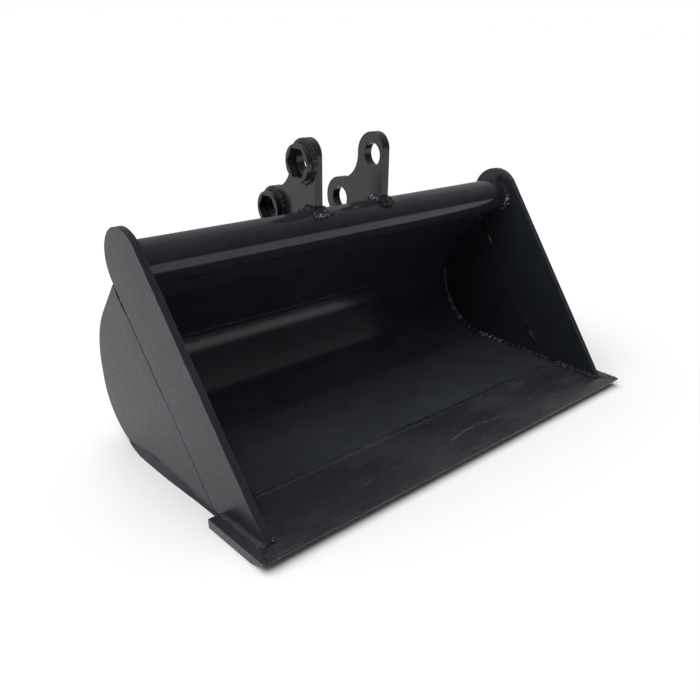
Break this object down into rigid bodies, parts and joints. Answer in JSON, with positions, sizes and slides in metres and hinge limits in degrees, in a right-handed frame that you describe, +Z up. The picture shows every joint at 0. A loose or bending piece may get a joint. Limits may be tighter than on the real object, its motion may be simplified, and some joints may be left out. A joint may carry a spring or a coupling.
{
  "type": "grading bucket for a small excavator",
  "caption": "Wide toothless excavator bucket: leaning side bars and rounded side plates, rolled bowl, torsion tube, straight cutting edge and two pin ears with hexagonal pockets.",
  "frame": {"origin": "middle of the footprint, on the ground under the cutting edge", "axes": "+X along the cutting edge, +Y from the cutting edge to the back, +Z up"},
  "size_m": [0.636, 0.344, 0.3355],
  "materials": {
    "side_paint": "gloss black paint",
    "bowl_paint": "gloss black paint",
    "edge_paint": "gloss black paint, lightly scuffed",
    "tube_paint": "gloss black paint",
    "ear_paint": "gloss black paint",
    "boss_paint": "gloss black paint",
    "weld_paint": "gloss black paint over weld"
  },
  "bodies": {
    "root": {"back_plate": "bowl_paint", "cutting_edge": "edge_paint", "floor_heel_plate": "bowl_paint", "hanger_ear_left": "ear_paint", "hanger_ear_right": "ear_paint", "heel_shoe_left": "side_paint", "heel_shoe_right": "side_paint", "pin_boss_lower": "boss_paint", "pin_boss_upper": "boss_paint", "side_bar_left": "side_paint", "side_bar_right": "side_paint", "side_plate_left": "side_paint", "side_plate_right": "side_paint", "torsion_tube": "tube_paint", "weld_boss_lower": "weld_paint", "weld_boss_upper": "weld_paint", "weld_bowl_left": "weld_paint", "weld_bowl_right": "weld_paint", "weld_edge_floor": "weld_paint", "weld_foot_left": "weld_paint", "weld_foot_right": "weld_paint", "weld_hanger_left": "weld_paint", "weld_hanger_right": "weld_paint", "weld_heel_back": "weld_paint", "weld_rim_left": "weld_paint", "weld_rim_right": "weld_paint", "weld_seam_left": "weld_paint", "weld_seam_right": "weld_paint", "weld_tube_back": "weld_paint", "weld_tube_end_left": "weld_paint", "weld_tube_end_right": "weld_paint"}
  },
  "joints": []
}
